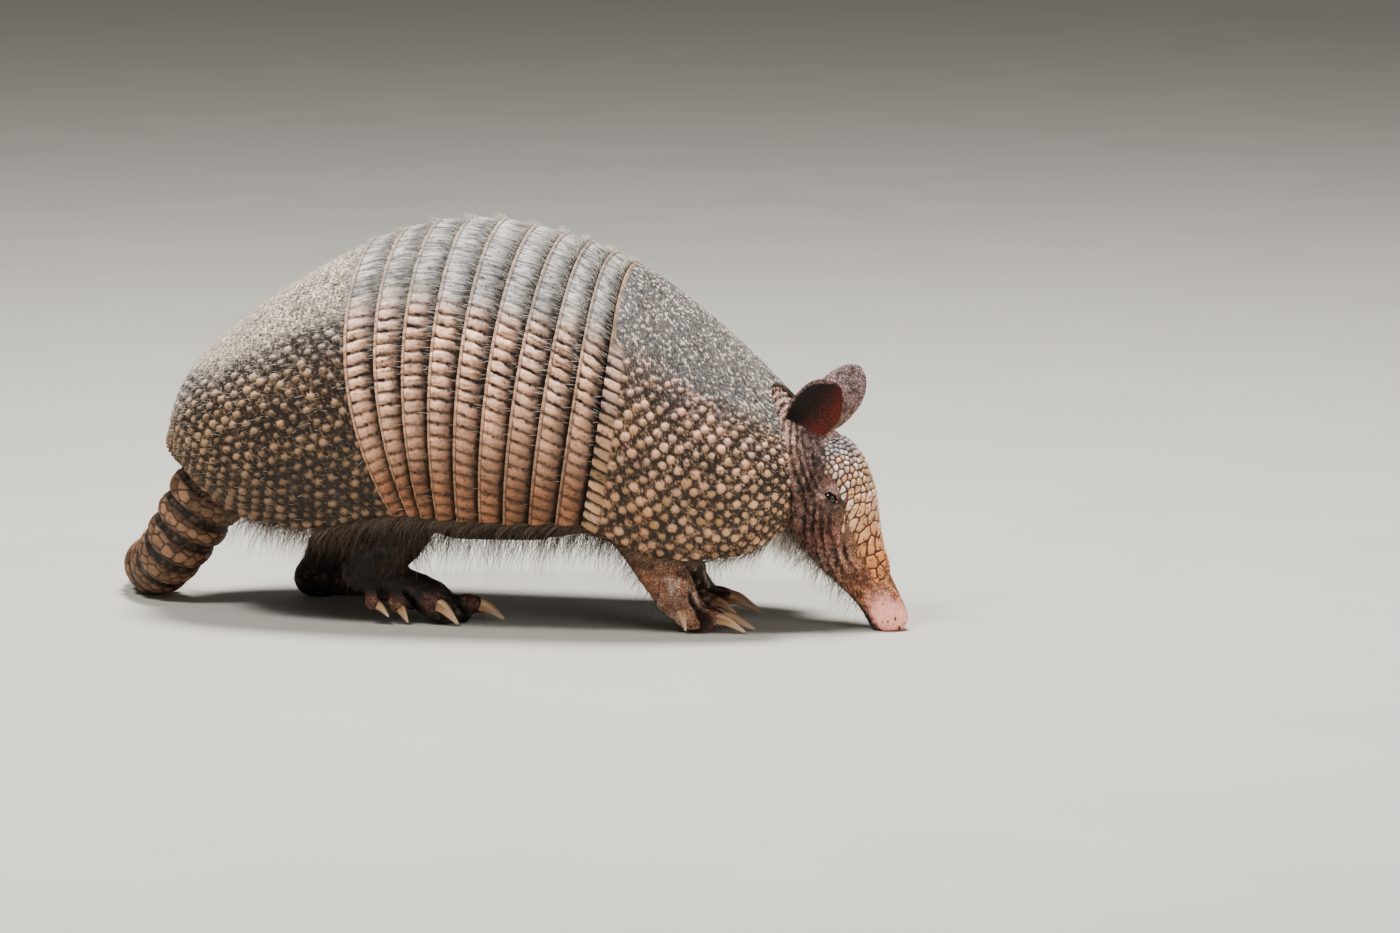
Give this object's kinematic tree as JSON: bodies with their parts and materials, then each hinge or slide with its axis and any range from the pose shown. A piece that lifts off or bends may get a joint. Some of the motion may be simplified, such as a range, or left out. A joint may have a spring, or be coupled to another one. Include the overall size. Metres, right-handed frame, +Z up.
{
  "type": "animal model",
  "caption": "Life-size still armadillo walking with its nose at the ground: banded armour, head shield, long claws and a ringed tail.",
  "frame": {"origin": "middle of the bounding box's underside, on the floor", "axes": "+X from the tail towards the head, +Y to the animal's left, +Z up"},
  "size_m": [0.4372, 0.2588, 0.2064],
  "materials": {
    "armour": "bony scutes on a dark ground, satin",
    "band": "long bony tiles with dark grooves, satin",
    "head_plates": "pale bony plates with brown grooves, satin",
    "skin": "wrinkled, sparsely haired skin",
    "nose": "bare damp skin, semi-gloss",
    "claw": "worn horn, semi-gloss",
    "eye": "wet, glossy",
    "tail_rings": "rings of bony scutes, satin"
  },
  "bodies": {
    "root": {"ear_left": "skin", "ear_right": "skin", "eye_left": "eye", "eye_right": "eye", "foreclaw_left_1": "claw", "foreclaw_left_2": "claw", "foreclaw_left_3": "claw", "foreclaw_left_4": "claw", "foreclaw_right_1": "claw", "foreclaw_right_2": "claw", "foreclaw_right_3": "claw", "foreclaw_right_4": "claw", "forefoot_left": "skin", "forefoot_right": "skin", "foreleg_left": "skin", "foreleg_right": "skin", "head": "skin", "head_shield": "head_plates", "hindclaw_left_1": "claw", "hindclaw_left_2": "claw", "hindclaw_left_3": "claw", "hindclaw_left_4": "claw", "hindclaw_left_5": "claw", "hindclaw_right_1": "claw", "hindclaw_right_2": "claw", "hindclaw_right_3": "claw", "hindclaw_right_4": "claw", "hindclaw_right_5": "claw", "hindfoot_left": "skin", "hindfoot_right": "skin", "hindleg_left": "skin", "hindleg_right": "skin", "neck": "skin", "nose": "nose", "shell_band_1": "band", "shell_band_2": "band", "shell_band_3": "band", "shell_band_4": "band", "shell_band_5": "band", "shell_band_6": "band", "shell_band_7": "band", "shell_band_8": "band", "shell_band_9": "band", "shell_pelvis": "armour", "shell_shoulder": "armour", "tail_rings_1": "tail_rings", "tail_rings_2": "tail_rings", "tail_rings_3": "tail_rings", "tail_taper": "tail_rings", "tail_tip": "tail_rings", "trunk": "skin"}
  },
  "joints": []
}
